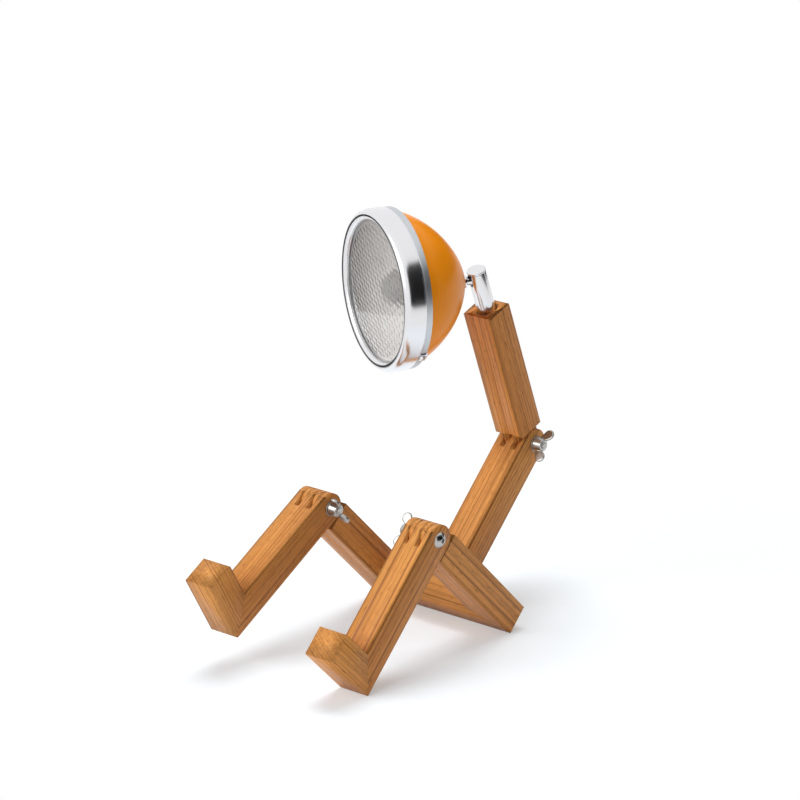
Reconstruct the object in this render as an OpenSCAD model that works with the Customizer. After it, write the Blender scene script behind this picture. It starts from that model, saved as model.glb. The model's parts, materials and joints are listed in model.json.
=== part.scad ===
// Robot shaped desk lamp: a seated figure of square wooden bars with a round
// headlight for a head. The knees and the waist are finger joints on wing nuts.
// The origin is the middle of the seat's lower rear edge, where it sits on the
// table. The figure faces -Y, its right side is -X, and +Z is up.

/* [Wooden bars] */
// Width of every bar, from side to side
bar_w = 25; // [20:0.5:30]
// Depth of every bar, across the joint bolts
bar_h = 21.5; // [18:0.5:26]
// Width over both thighs
seat_w = 125; // [110:1:160]
// Rear edge of the seat to the knee bolt
thigh_reach = 119.5; // [105:0.5:128]
// Knee bolt to the sole
shin_reach = 118; // [112:0.5:140]
// Heel to toe
foot_l = 50; // [35:1:70]
// Top of the seat's crossbar to the waist bolt
post_reach = 117.5; // [95:0.5:150]
// Waist bolt to the top of the chest
chest_reach = 116.5; // [95:0.5:150]

/* [Pose] */
// Thighs above the table, in degrees
seat_tilt = 44.5; // [40:0.5:50]
// Shin of the raised leg below the level, in degrees
raised_tilt = 30; // [20:1:40]
// Lean of the chest from upright, in degrees
chest_lean = 21; // [0:1:35]
// Turn of the head about the neck, in degrees
head_turn = -26.5; // [-60:0.5:60]
// Rise of the head from square to the neck, in degrees
head_rise = 17.5; // [4:0.5:20]

/* [Finger joints] */
// Thickness of each of the two tongues
tongue_w = 4; // [3:0.1:5]
// Width of the middle finger
mid_finger_w = 6; // [5:0.1:7]
// Play on each side of a tongue
joint_gap = 0.15; // [0.1:0.05:0.3]
// Room past the round end of a tongue, in its slot
slot_room = 2.25; // [1.5:0.05:4]
// Room past the round end of a finger, at the shoulder
shoulder_room = 1.25; // [0.6:0.05:3]

/* [Bolts and wing nuts] */
// Diameter of the joint bolts
bolt_d = 5; // [4:0.5:6]
// Play of a bolt in its hole, on the radius
bolt_play = 0.08; // [0.05:0.01:0.1]
// Diameter of the domed bolt head
bolt_head_d = 11.4; // [10:0.1:13]
// Height of the domed bolt head
bolt_head_h = 3; // [2:0.1:4]
// Size of the hexagon key, across its flats
key_w = 3; // [2.5:0.5:4]
// Depth of the key's socket
key_depth = 1.8; // [1:0.1:2]
// Bolt's end past the wing nut
bolt_end = 1.2; // [0.5:0.1:3]
// Diameter of the washer
washer_d = 11.5; // [10:0.5:14]
// Thickness of the washer
washer_t = 1; // [0.6:0.1:1.6]
// Diameter of the wing nut's hub at its base
hub_d = 11; // [9.5:0.5:12]
// Diameter of the hub at its top
hub_top_d = 8.6; // [8:0.1:9.5]
// Height of the hub
hub_h = 7; // [5:0.5:8]
// Bolt centre to the tip of a wing
wing_reach = 12.6; // [11:0.1:15]
// Base of the hub to the top of a wing
wing_rise = 11.5; // [10:0.5:14]
// Radius of a wing's round end
wing_r = 3.9; // [3:0.1:4.5]
// Thickness of a wing
wing_t = 2.2; // [1.6:0.1:3]
// Angle of the wings at the waist, in degrees
waist_wing_turn = 52; // [0:1:180]
// Angle of the wings at the raised knee, in degrees
raised_wing_turn = 125; // [0:1:180]
// Angle of the wings at the planted knee, in degrees
planted_wing_turn = 56; // [0:1:180]

/* [Neck] */
// Diameter of the chromed neck
neck_d = 13.6; // [12:0.1:14]
// Top of the chest to the top of the neck
neck_h = 33.4; // [32:0.1:40]
// Top of the chest to the centre of the ball
ball_rise = 25.2; // [22:0.1:25.4]
// Diameter of the ball
ball_d = 10; // [9:0.1:10.2]
// Diameter of the stud between the ball and the head
stud_d = 6; // [5:0.1:6.2]
// Furthest rise of the stud past its pose, in degrees
rise_more = 6; // [3:1:7]
// Furthest dip of the stud past its pose, in degrees
rise_less = 18; // [8:1:20]
// Thickness of the neck's cap
cap_t = 1.5; // [1:0.1:1.6]
// Diameter of the bush in the chest
bush_d = 16; // [15.6:0.1:18]
// Length of the bush
bush_l = 22; // [18:0.5:30]
// Top of the chest down to the bush
bush_sink = 3; // [2:0.5:6]
// Running play of the neck in its bush, on the radius
neck_play = 0.06; // [0.04:0.01:0.1]

/* [Head] */
// Centre of the ball to the rear end of the shell, along the stud
head_reach = 13; // [11:0.5:24]
// Head's centre line above the stud
head_lift = 3; // [0:0.5:4]
// Radius of the open lens
lens_r = 50.3; // [46:0.1:50.5]
// Thickness of the lens
lens_t = 2.6; // [2:0.1:3.5]
// Rise of the lens at its middle
lens_crown = 2.5; // [1:0.1:4]
// Largest radius of the bezel
bezel_r = 57.8; // [57.5:0.1:60]
// Length of the bezel behind the lens rim
bezel_l = 17.4; // [15:0.1:22]
// Rise of the bezel's lip before the lens rim
lip_rise = 2.4; // [1.5:0.1:3]
// Thickness of the bezel's metal
bezel_t = 0.9; // [0.7:0.1:1]
// Lens rim to the rear end of the shell
shell_l = 66; // [58:0.5:76]
// Fullness of the shell's curve: a half is an ellipse
shell_share = 0.665; // [0.6:0.005:0.68]
// Thickness of the shell's metal
shell_t = 1.2; // [0.8:0.1:1.5]
// Radius of the bulb
bulb_r = 12.5; // [10:0.5:13]

/* [Hidden] */

// Cuts run this far past what they cut
over = 1;
// Fixed pieces stand this far apart on the radius
snug = 0.05;
$fn = 96;

half_w = bar_w / 2;
half_h = bar_h / 2;
bar_x = seat_w / 2 - half_w;
slot_w = tongue_w + 2 * joint_gap;
slot_x = mid_finger_w / 2;
slot_reach = half_h + slot_room;
shoulder_reach = half_h + shoulder_room;
bolt_r = bolt_d / 2;
bolt_hole_r = bolt_r + bolt_play;

// Joint centres at the pose. The planted shin is as steep as its heel's touch
// on the table asks.
knee_at = [-thigh_reach * cos(seat_tilt) + half_h * sin(seat_tilt),
    thigh_reach * sin(seat_tilt) + half_h * cos(seat_tilt)];
waist_at = [(bar_h + post_reach) * sin(seat_tilt) - half_w * cos(seat_tilt),
    (bar_h + post_reach) * cos(seat_tilt) + half_w * sin(seat_tilt)];
planted_drop = asin(knee_at[1] / norm([shin_reach, half_h])) - atan(half_h / shin_reach);

// Lowest part of a wing above its hub's base
wing_foot = 0.6;

// Dowels that hold the post on the crossbar
dowel_d = 8;
dowel_l = 36;
dowel_x = 6.5;
dowel_end_room = 0.5;

// Neck, from the top of the chest
neck_r = neck_d / 2;
bush_r = bush_d / 2;
bush_web = 3;
bush_foot = -bush_sink - bush_l;
barrel_foot = bush_foot + bush_web;
stem_r = 4;
stem_bore_r = 2;
stem_end = 1;
neck_nut_w = 12;
neck_nut_h = 4;
nut_pocket_room = 3;
nut_pocket_l = neck_nut_h + stem_end + nut_pocket_room;
nut_pocket_r = 7.5;
cap_pad_r = 2;
socket_r = ball_d / 2 + neck_play;
socket_floor = ball_rise - ball_d;
cap_at = neck_h - cap_t;
cap_bevel = 0.6;
cap_plug = 0.6;
slot_play = 0.3;
slot_top = ball_rise + neck_r * tan(head_rise + rise_more)
    + stud_d / 2 / cos(head_rise + rise_more) + slot_play;
slot_foot = ball_rise + neck_r * tan(head_rise - rise_less)
    - stud_d / 2 / cos(head_rise - rise_less) - slot_play;
seat_cup_drop = 3.6;

// Head, from the ball's centre forward along the stud
wire_bore_r = 1.5;
pad_r = 6;
pad_rise = 0.4;
boss_rise = 2.3;
collar_r = 4.8;
collar_t = 2.2;
stud_nut_w = 9;
stud_nut_h = 3.5;
stud_end = 1;
lens_reach = head_reach + shell_l;
pad_at = head_reach - pad_rise;
boss_at = head_reach + shell_t + boss_rise;

// Head, from the lens rim forward along the head's centre line
lip_t = 1;
crest_share = 0.5;
crest_r = lens_r + crest_share * (bezel_r - lens_r);
flange_w = 4.4;
groove_w = 1;
groove_depth = 0.8;
flange_depth = 0.6;
band_l = bezel_l - flange_w - groove_w;
lens_lap = 3.5;
lens_front = -lip_t - snug;
gasket_w = 2;
gasket_t = 1.5;
gasket_at = lens_front - lens_t - gasket_t;
reflector_t = 0.8;
reflector_at = gasket_at - reflector_t;
shell_rim_r = dome_r(bezel_l, bezel_r, shell_l);
mouth_inset = 0.8;
reflector_mouth_r = lens_r - mouth_inset;
reflector_base_r = 16;
reflector_base_at = -35;
holder_r = 10.5;
holder_flange_r = 14;
holder_flange_t = 1.5;
holder_room = 10;
holder_end = holder_room - shell_l;
bulb_at = -20;
bulb_neck_r = 6.4;
bulb_cap_r = 6.9;
bulb_cap_room = 3;
bulb_cap_l = 14;
bulb_cap_at = holder_end + bulb_cap_room + bulb_cap_l;
rim_r = bezel_r - flange_depth;
rim_mid = bezel_l - flange_w / 2;
band_at = 4;
crown_inset = 0.3;
crown_r = lens_r - crown_inset;
gasket_r = bezel_r - bezel_t - snug;
holder_rise = 2;
bulb_plug_l = 5;
bulb_t = 0.9;
dome_steps = 16;
seam_turn = 20;
clip_w = 7;
clip_t = 1;
clip_turn = 57;
clip_slot_w = 0.8;
clip_screw_room = 0.2;
clip_screw_d = 2.5;
clip_head_d = 4.4;
clip_head_h = 1.5;
clip_screw_l = 5;

// Radius of a dome of base radius r and length l, at a distance behind its base
function dome_r(a, r, l) = r * pow(max(1 - a * a / (l * l), 0), shell_share);

function arc(r, from, to, steps, at = [0, 0]) =
    [for (i = [0:steps]) let (a = from + (to - from) * i / steps)
        at + r * [cos(a), sin(a)]];

// Frames
module seat_frame() {
    rotate([-seat_tilt, 0, 0]) children();
}

module knee_frame(side, drop) {
    translate([side * bar_x, knee_at[0], knee_at[1]]) rotate([90 + drop, 0, 0]) children();
}

module waist_frame() {
    translate([0, waist_at[0], waist_at[1]]) rotate([chest_lean, 0, 0]) children();
}

module neck_frame() {
    waist_frame() translate([0, 0, chest_reach]) rotate([0, 0, head_turn]) children();
}

// Z runs forward from the ball's centre, and Y runs up
module stud_frame() {
    neck_frame() translate([0, 0, ball_rise]) rotate([90 - head_rise, 0, 0]) children();
}

// Z runs forward from the lens rim along the head's centre line
module head_frame() {
    stud_frame() translate([0, head_lift, lens_reach]) children();
}

// Z runs along a joint bolt towards its nut, from the middle of the bar
module bolt_frame(x, at, nut_side) {
    translate([x, at[0], at[1]]) rotate([0, nut_side * 90, 0]) children();
}

// Bars: the joint's bolt is at the origin and the bar runs along +Z
module across(x0, x1) {
    rotate([90, 0, 90]) translate([0, 0, x0]) linear_extrude(x1 - x0) children();
}

module bar_side(reach) {
    circle(half_h);
    translate([-half_h, 0]) square([bar_h, reach]);
}

module leg_side() {
    circle(half_h);
    polygon([[-half_h, 0], [half_h, 0], [half_h, shin_reach - bar_h],
        [-half_h, shin_reach]]);
}

module joint_cut(x, w, reach) {
    across(x, x + w) translate([-half_h - over, -half_h - over])
        square([bar_h + 2 * over, half_h + over + reach]);
}

module bolt_hole() {
    rotate([0, 90, 0]) cylinder(r = bolt_hole_r, h = bar_w + 2 * over, center = true);
}

// Three fingers with a slot on each side of the middle one
module fingers() {
    difference() {
        across(-half_w, half_w) children();
        joint_cut(slot_x, slot_w, slot_reach);
        joint_cut(-slot_x - slot_w, slot_w, slot_reach);
        bolt_hole();
    }
}

// Two tongues, with square shoulders outside and between them
module tongues() {
    tongue_x = slot_x + joint_gap;
    difference() {
        across(-half_w, half_w) children();
        joint_cut(-tongue_x, 2 * tongue_x, slot_reach);
        joint_cut(tongue_x + tongue_w, half_w, shoulder_reach);
        joint_cut(-tongue_x - tongue_w - half_w, half_w, shoulder_reach);
        bolt_hole();
    }
}

module post_place() {
    seat_frame() translate([0, -half_w, bar_h + post_reach]) rotate([180, 0, 0]) children();
}

module dowels(r, more) {
    for (side = [-1, 1]) seat_frame()
        translate([side * dowel_x, -half_w, bar_h - dowel_l / 2 - more])
        cylinder(r = r, h = dowel_l + 2 * more);
}

// Seat
module seat_crossbar() {
    color("peru") difference() {
        seat_frame() linear_extrude(bar_h) polygon([[-seat_w / 2, 0], [seat_w / 2, 0],
            [seat_w / 2 - bar_w, -bar_w], [bar_w - seat_w / 2, -bar_w]]);
        dowels(dowel_d / 2 + snug, dowel_end_room);
    }
}

module thigh(side) {
    color("peru") seat_frame() translate([side * bar_x, -thigh_reach, half_h])
        rotate([-90, 0, 0]) difference() {
            tongues() bar_side(thigh_reach);
            rotate([90, 0, 0]) translate([0, 0, -bar_h]) linear_extrude(2 * bar_h)
                polygon([[-side * (half_w + over), thigh_reach - bar_w - over],
                    [side * (half_w + over), thigh_reach + over],
                    [-side * (half_w + over), thigh_reach + over]]);
        }
}

module thigh_right() {
    thigh(-1);
}

module thigh_left() {
    thigh(1);
}

module seat_post() {
    color("peru") difference() {
        post_place() fingers() bar_side(post_reach);
        dowels(dowel_d / 2 + snug, dowel_end_room);
    }
}

module post_dowels() {
    color("burlywood") dowels(dowel_d / 2, 0);
}

// Legs
module shin(side, drop) {
    color("peru") knee_frame(side, drop) fingers() leg_side();
}

module foot(side, drop) {
    color("peru") knee_frame(side, drop) across(-half_w, half_w)
        polygon([[-half_h, shin_reach], [half_h, shin_reach - bar_h],
            [foot_l - half_h, shin_reach - bar_h], [foot_l - half_h, shin_reach]]);
}

module shin_right() {
    shin(-1, raised_tilt);
}

module foot_right() {
    foot(-1, raised_tilt);
}

module shin_left() {
    shin(1, planted_drop);
}

module foot_left() {
    foot(1, planted_drop);
}

// Chest
module chest_bar() {
    color("peru") difference() {
        waist_frame() tongues() bar_side(chest_reach);
        neck_frame() translate([0, 0, bush_foot]) cylinder(r = bush_r + snug, h = over - bush_foot);
        neck_frame() translate([0, 0, bush_foot - nut_pocket_l])
            cylinder(r = nut_pocket_r, h = nut_pocket_l + over);
    }
}

// Bolts and wing nuts
module bolt(x, at, nut_side) {
    head_r = (pow(bolt_head_d / 2, 2) + pow(bolt_head_h, 2)) / 2 / bolt_head_h;
    color("silver") bolt_frame(x, at, nut_side) difference() {
        union() {
            translate([0, 0, -half_w])
                cylinder(r = bolt_r, h = bar_w + washer_t + hub_h + bolt_end);
            intersection() {
                translate([0, 0, head_r - half_w - bolt_head_h]) sphere(head_r);
                translate([0, 0, -half_w - bolt_head_h - over])
                    cylinder(d = bolt_head_d + over, h = bolt_head_h + over);
            }
        }
        translate([0, 0, -half_w - bolt_head_h - over])
            cylinder(r = key_w / sqrt(3), h = key_depth + over, $fn = 6);
    }
}

module washer(x, at, nut_side) {
    color("silver") bolt_frame(x, at, nut_side) translate([0, 0, half_w]) difference() {
        cylinder(d = washer_d, h = washer_t);
        translate([0, 0, -over]) cylinder(r = bolt_r + snug, h = washer_t + 2 * over);
    }
}

// Where the line from p touches the circle of radius r round c, on either side
function touch(p, c, r, side) = let (v = c - p, l = norm(v), a = atan2(v[1], v[0]) + side * asin(r / l))
    p + sqrt(l * l - r * r) * [cos(a), sin(a)];

module wing() {
    tip = [wing_reach - wing_r, wing_rise - wing_r];
    low = [hub_d / 2 - wing_t, wing_foot];
    high = [hub_top_d / 2 - wing_t / 2, hub_h - wing_foot];
    rotate([90, 0, 0]) translate([0, 0, -wing_t / 2]) linear_extrude(wing_t) {
        translate(tip) circle(wing_r);
        polygon([low, touch(low, tip, wing_r, -1), tip, touch(high, tip, wing_r, 1), high]);
    }
}

module wing_nut(x, at, nut_side, turn) {
    color("silver") bolt_frame(x, at, nut_side) translate([0, 0, half_w + washer_t])
        rotate([0, 0, turn]) difference() {
            union() {
                cylinder(d1 = hub_d, d2 = hub_top_d, h = hub_h);
                wing();
                rotate([0, 0, 180]) wing();
            }
            translate([0, 0, -over]) cylinder(r = bolt_r + snug, h = wing_rise + 2 * over);
        }
}

module knee_bolt_right() {
    bolt(-bar_x, knee_at, 1);
}

module knee_bolt_left() {
    bolt(bar_x, knee_at, -1);
}

module waist_bolt() {
    bolt(0, waist_at, 1);
}

module knee_washer_right() {
    washer(-bar_x, knee_at, 1);
}

module knee_washer_left() {
    washer(bar_x, knee_at, -1);
}

module waist_washer() {
    washer(0, waist_at, 1);
}

module knee_wing_nut_right() {
    wing_nut(-bar_x, knee_at, 1, raised_wing_turn - 90);
}

module knee_wing_nut_left() {
    wing_nut(bar_x, knee_at, -1, 90 - planted_wing_turn);
}

module waist_wing_nut() {
    wing_nut(0, waist_at, 1, waist_wing_turn - 90);
}

// Neck
module neck_bush() {
    color("silver") neck_frame() difference() {
        translate([0, 0, bush_foot]) cylinder(r = bush_r, h = bush_l);
        translate([0, 0, barrel_foot]) cylinder(r = neck_r + neck_play, h = bush_l);
        translate([0, 0, bush_foot - over]) cylinder(r = stem_r + neck_play, h = bush_l);
    }
}

module neck_barrel() {
    slot_r = stud_d / 2 + slot_play;
    color("silver") neck_frame() difference() {
        union() {
            translate([0, 0, barrel_foot]) cylinder(r = neck_r, h = cap_at - barrel_foot);
            translate([0, 0, bush_foot - neck_nut_h - stem_end])
                cylinder(r = stem_r, h = bush_web + neck_nut_h + stem_end + over);
        }
        translate([0, 0, socket_floor]) cylinder(r = socket_r, h = neck_h);
        translate([0, 0, bush_foot - bush_l]) cylinder(r = stem_bore_r, h = bush_l + neck_h);
        translate([0, 0, slot_foot + slot_r]) rotate([90, 0, 0]) cylinder(r = slot_r, h = neck_d);
        translate([-slot_r, -neck_d, slot_foot + slot_r]) cube([2 * slot_r, neck_d, neck_h]);
    }
}

module neck_cap() {
    color("silver") neck_frame() {
        translate([0, 0, cap_at]) cylinder(r = neck_r, h = cap_t - cap_bevel);
        translate([0, 0, neck_h - cap_bevel])
            cylinder(r1 = neck_r, r2 = neck_r - cap_bevel, h = cap_bevel);
        translate([0, 0, cap_at - cap_plug]) cylinder(r = socket_r - snug, h = cap_plug + cap_t / 2);
        translate([0, 0, ball_rise + ball_d / 2 + neck_play])
            cylinder(r = cap_pad_r, h = cap_at - ball_rise - ball_d / 2);
    }
}

module neck_nut() {
    color("silver") neck_frame() translate([0, 0, bush_foot - neck_nut_h]) difference() {
        cylinder(r = neck_nut_w / sqrt(3), h = neck_nut_h, $fn = 6);
        translate([0, 0, -over]) cylinder(r = stem_r + snug, h = neck_nut_h + 2 * over);
    }
}

module ball_seat() {
    color("dimgray") neck_frame() difference() {
        translate([0, 0, socket_floor])
            cylinder(r = socket_r - snug, h = ball_rise - seat_cup_drop - socket_floor);
        translate([0, 0, ball_rise]) sphere(ball_d / 2 + neck_play);
        translate([0, 0, socket_floor - over]) cylinder(r = stem_bore_r, h = ball_d);
    }
}

// Head
module head_stud() {
    color("silver") stud_frame() difference() {
        union() {
            sphere(d = ball_d);
            cylinder(d = stud_d, h = boss_at + stud_nut_h + stud_end);
            translate([0, 0, pad_at - collar_t]) cylinder(r = collar_r, h = collar_t);
        }
        translate([0, 0, -ball_d]) cylinder(r = wire_bore_r, h = lens_reach);
    }
}

module stud_nut() {
    color("silver") stud_frame() translate([0, 0, boss_at]) difference() {
        cylinder(r = stud_nut_w / sqrt(3), h = stud_nut_h, $fn = 6);
        translate([0, 0, -over]) cylinder(r = stud_d / 2 + snug, h = stud_nut_h + 2 * over);
    }
}

// The clip's radial hole, from outside the rim inwards
module clip_hole(r) {
    rotate([0, 0, clip_turn]) translate([0, clip_screw_l - rim_r, -rim_mid]) rotate([90, 0, 0])
        cylinder(r = r, h = clip_screw_l + clip_t + over);
}

// A dome's outline from its base plane at a distance behind the lens rim
function dome_side(r, l, from) = [for (i = [0:dome_steps])
    let (a = l * sin(asin(from / l) + (90 - asin(from / l)) * i / dome_steps))
        [i == dome_steps ? 0 : dome_r(a, r, l), -a]];

module head_shell() {
    inner = dome_side(bezel_r - shell_t, shell_l - shell_t, bezel_l);
    outer = dome_side(bezel_r, shell_l, bezel_l);
    color("darkorange") difference() {
        union() {
            head_frame() rotate_extrude() polygon(concat(
                [[shell_rim_r - shell_t, reflector_at - reflector_t],
                    [shell_rim_r, reflector_at - reflector_t]], outer,
                [for (i = [dome_steps:-1:0]) inner[i]]));
            stud_frame() rotate([0, 0, seam_turn]) translate([0, 0, pad_at])
                cylinder(r = pad_r, h = boss_at - pad_at);
        }
        stud_frame() rotate([0, 0, 2 * seam_turn])
            cylinder(r = stud_d / 2 + snug, h = lens_reach - shell_l / 2);
        head_frame() clip_hole(clip_screw_d / 2 + snug);
    }
}

// Quarter of an oval, from one angle to another
function oval(at, rx, ry, from, to, steps) = [for (i = [0:steps])
    let (a = from + (to - from) * i / steps) at + [rx * cos(a), ry * sin(a)]];

module head_bezel() {
    lip_w = crest_r - lens_r;
    turn_w = bezel_r - crest_r;
    turn_h = lip_rise + band_at;
    color("silver") head_frame() difference() {
        rotate_extrude() polygon(concat(
            [[lens_r, -lip_t]],
            oval([crest_r, 0], lip_w, lip_rise, 180, 90, 8),
            oval([crest_r, -band_at], turn_w, turn_h, 81, 0, 9),
            [[bezel_r, -band_l], [bezel_r - groove_depth, -band_l - groove_w / 3],
                [bezel_r - groove_depth, -band_l - groove_w], [rim_r, -band_l - groove_w],
                [rim_r, -bezel_l], [shell_rim_r + snug, -bezel_l],
                [shell_rim_r + snug, -band_l - groove_w], [bezel_r - bezel_t, -band_l]],
            oval([crest_r, -band_at], turn_w - bezel_t, turn_h - bezel_t, 0, 81, 9),
            oval([crest_r, 0], lip_w - bezel_t, lip_rise - bezel_t, 90, 180, 8),
            [[lens_r + bezel_t, -lip_t]]));
        clip_hole(clip_screw_d / 2 + snug);
    }
}

module head_lens() {
    crown = [for (i = [0:12]) let (q = 1 - i / 12)
        [crown_r * q, lens_front + lens_crown * (1 - q * q)]];
    color("lightblue", 0.5) head_frame() rotate_extrude() polygon(concat(
        [[lens_r + lens_lap, lens_front - lens_t], [lens_r + lens_lap, lens_front]], crown,
        [for (i = [12:-1:0]) crown[i] - [0, lens_t]]));
}

module lens_gasket() {
    color("dimgray") head_frame() rotate_extrude() polygon([
        [lens_r + lens_lap + snug, lens_front], [crest_r, lens_front], [gasket_r, -band_at],
        [gasket_r, gasket_at],
        [lens_r + lens_lap - gasket_w, gasket_at],
        [lens_r + lens_lap - gasket_w, gasket_at + gasket_t],
        [lens_r + lens_lap + snug, gasket_at + gasket_t]]);
}

module reflector() {
    bowl = [for (i = [0:16]) let (q = i / 16)
        [reflector_mouth_r + (reflector_base_r - reflector_mouth_r) * q,
            reflector_at + (reflector_base_at - reflector_at) * sqrt(q)]];
    color("gainsboro") head_frame() rotate_extrude() polygon(concat(
        [[gasket_r, reflector_at], [gasket_r, gasket_at]],
        [for (p = bowl) p + [0, reflector_t]],
        [[holder_r + snug, reflector_base_at + reflector_t],
            [holder_r + snug, reflector_base_at]],
        [for (i = [16:-1:0]) bowl[i] + [i == 0 ? reflector_t : 0, 0]]));
}

module bulb_holder() {
    color("dimgray") head_frame() difference() {
        union() {
            translate([0, 0, holder_end])
                cylinder(r = holder_r, h = reflector_base_at + holder_rise - holder_end);
            translate([0, 0, reflector_base_at - holder_flange_t])
                cylinder(r = holder_flange_r, h = holder_flange_t);
        }
        translate([0, 0, bulb_cap_at - bulb_cap_l]) cylinder(r = bulb_cap_r + snug, h = shell_l);
    }
}

module bulb_cap() {
    color("silver") head_frame() difference() {
        translate([0, 0, bulb_cap_at - bulb_cap_l]) cylinder(r = bulb_cap_r, h = bulb_cap_l);
        translate([0, 0, bulb_cap_at - bulb_plug_l]) cylinder(r = bulb_neck_r + snug, h = bulb_cap_l);
    }
}

module bulb_glass() {
    color("white", 0.7) head_frame() difference() {
        union() {
            translate([0, 0, bulb_at]) sphere(bulb_r);
            translate([0, 0, bulb_cap_at - bulb_plug_l])
                cylinder(r = bulb_neck_r, h = bulb_at - bulb_cap_at + bulb_plug_l);
        }
        translate([0, 0, bulb_at]) sphere(bulb_r - bulb_t);
        translate([0, 0, bulb_cap_at - bulb_plug_l - over])
            cylinder(r = bulb_neck_r - bulb_t, h = bulb_at - bulb_cap_at + bulb_plug_l + over);
    }
}

module rim_clip() {
    color("silver") head_frame() difference() {
        rotate([0, 0, clip_turn]) intersection() {
            rotate_extrude() polygon([[rim_r, -bezel_l], [rim_r, -band_l - groove_w],
                [rim_r + clip_t, -band_l - groove_w], [rim_r + clip_t, -bezel_l - clip_t],
                [shell_rim_r + snug, -bezel_l - clip_t], [shell_rim_r + snug, -bezel_l]]);
            translate([-clip_w / 2, -bezel_r - clip_t - over, -bezel_l - clip_t - over])
                cube([clip_w, bezel_r, shell_l]);
        }
        clip_hole(clip_screw_d / 2 + snug);
    }
}

module rim_screw() {
    color("silver") head_frame() rotate([0, 0, clip_turn])
        translate([0, -rim_r - clip_t, -rim_mid]) rotate([90, 0, 0]) difference() {
            union() {
                cylinder(d1 = clip_head_d, d2 = clip_head_d - clip_head_h, h = clip_head_h);
                translate([0, 0, -clip_screw_l + clip_screw_room])
                    cylinder(d = clip_screw_d, h = clip_screw_l);
            }
            translate([-clip_head_d, -clip_slot_w / 2, clip_head_h / 2])
                cube([2 * clip_head_d, clip_slot_w, clip_head_h]);
        }
}

seat_crossbar();
thigh_right();
thigh_left();
seat_post();
post_dowels();
shin_right();
foot_right();
shin_left();
foot_left();
chest_bar();
knee_bolt_right();
knee_bolt_left();
waist_bolt();
knee_washer_right();
knee_washer_left();
waist_washer();
knee_wing_nut_right();
knee_wing_nut_left();
waist_wing_nut();
neck_bush();
neck_barrel();
neck_cap();
neck_nut();
ball_seat();
head_stud();
stud_nut();
head_shell();
head_bezel();
head_lens();
lens_gasket();
reflector();
bulb_holder();
bulb_cap();
bulb_glass();
rim_clip();
rim_screw();
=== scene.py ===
"""Seated wooden figure lamp: adds the pieces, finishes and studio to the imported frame."""
import json
import math

import bmesh
import bpy
from bpy.props import FloatProperty, FloatVectorProperty, PointerProperty
from mathutils import Matrix, Vector


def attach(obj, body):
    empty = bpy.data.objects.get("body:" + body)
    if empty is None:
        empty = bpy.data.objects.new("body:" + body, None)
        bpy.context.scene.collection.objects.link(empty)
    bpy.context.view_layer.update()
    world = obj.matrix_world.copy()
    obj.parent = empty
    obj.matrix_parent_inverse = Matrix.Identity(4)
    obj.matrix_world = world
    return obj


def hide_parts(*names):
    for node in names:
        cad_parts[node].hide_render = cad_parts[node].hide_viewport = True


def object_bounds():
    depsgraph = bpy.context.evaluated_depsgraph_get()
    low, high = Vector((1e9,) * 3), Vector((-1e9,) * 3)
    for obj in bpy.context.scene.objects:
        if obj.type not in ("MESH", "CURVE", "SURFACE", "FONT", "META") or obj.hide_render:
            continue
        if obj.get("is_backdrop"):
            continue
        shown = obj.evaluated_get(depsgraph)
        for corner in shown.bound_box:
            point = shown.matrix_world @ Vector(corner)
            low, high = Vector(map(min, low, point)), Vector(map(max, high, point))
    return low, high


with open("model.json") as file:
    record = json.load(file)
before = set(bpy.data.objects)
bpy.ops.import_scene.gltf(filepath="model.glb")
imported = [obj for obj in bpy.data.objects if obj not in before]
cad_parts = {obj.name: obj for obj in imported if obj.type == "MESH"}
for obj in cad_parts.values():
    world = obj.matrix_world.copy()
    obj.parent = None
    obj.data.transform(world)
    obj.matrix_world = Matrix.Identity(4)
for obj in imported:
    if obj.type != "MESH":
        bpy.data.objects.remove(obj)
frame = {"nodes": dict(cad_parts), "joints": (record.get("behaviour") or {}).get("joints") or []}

bl_info = {
    "name": "Seated Figure Lamp",
    "version": (1, 0, 0),
    "blender": (4, 5, 0),
    "location": "View3D > Sidebar > Figure Lamp",
    "description": "Dresses the packed frame of a seated wooden figure with a headlight as its head",
    "category": "Object",
}

MM = 0.001
NODES = frame["nodes"]
JOINTS = {j["name"]: j for j in frame["joints"]}
FULL_TURN = 2 * math.pi
WHITE = (1, 1, 1, 1)
BORE_ROOM = 0.06  # millimetres between a bolt or stud and the bore round it
HAIR = 0.01  # millimetres; the dressed pieces stay a few of these inside the CAD solids

# Node's name round the word for its part, joint, side that the nut is on, and the bodies that the
# bolt and its wing nut ride on
BOLTED = (("knee_{}_right", "knee_right", 1, "leg_right", "nut_right"),
          ("knee_{}_left", "knee_left", -1, "leg_left", "nut_left"),
          ("waist_{}", "waist", 1, "seat_frame", "nut_waist"))


def size(name, default, description, **more):
    """A length in millimetres that shows in the panel."""
    return FloatProperty(name=name, default=default, description=description, min=0, **more)


def angle(name, default, description):
    """An angle that shows in degrees and is kept in radians."""
    return FloatProperty(name=name, default=math.radians(default), description=description,
                         subtype="ANGLE", unit="ROTATION")


def colour(name, default, description):
    return FloatVectorProperty(name=name, default=default, description=description,
                               subtype="COLOR", size=3, min=0, max=1)


class FIGURE_PG_pose(bpy.types.PropertyGroup):
    """Angles of the bars and of the head at rest"""
    seat_tilt: angle("Seat tilt", 44.5, "Thighs above the table")
    raised_drop: angle("Raised shin", 30, "Raised shin below the level")
    planted_drop: angle("Planted shin", 45.293, "Planted shin below the level")
    chest_lean: angle("Chest lean", 21, "Chest forward of upright")
    head_rise: angle("Head rise", 17.5, "Stud above square to the neck")


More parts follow.
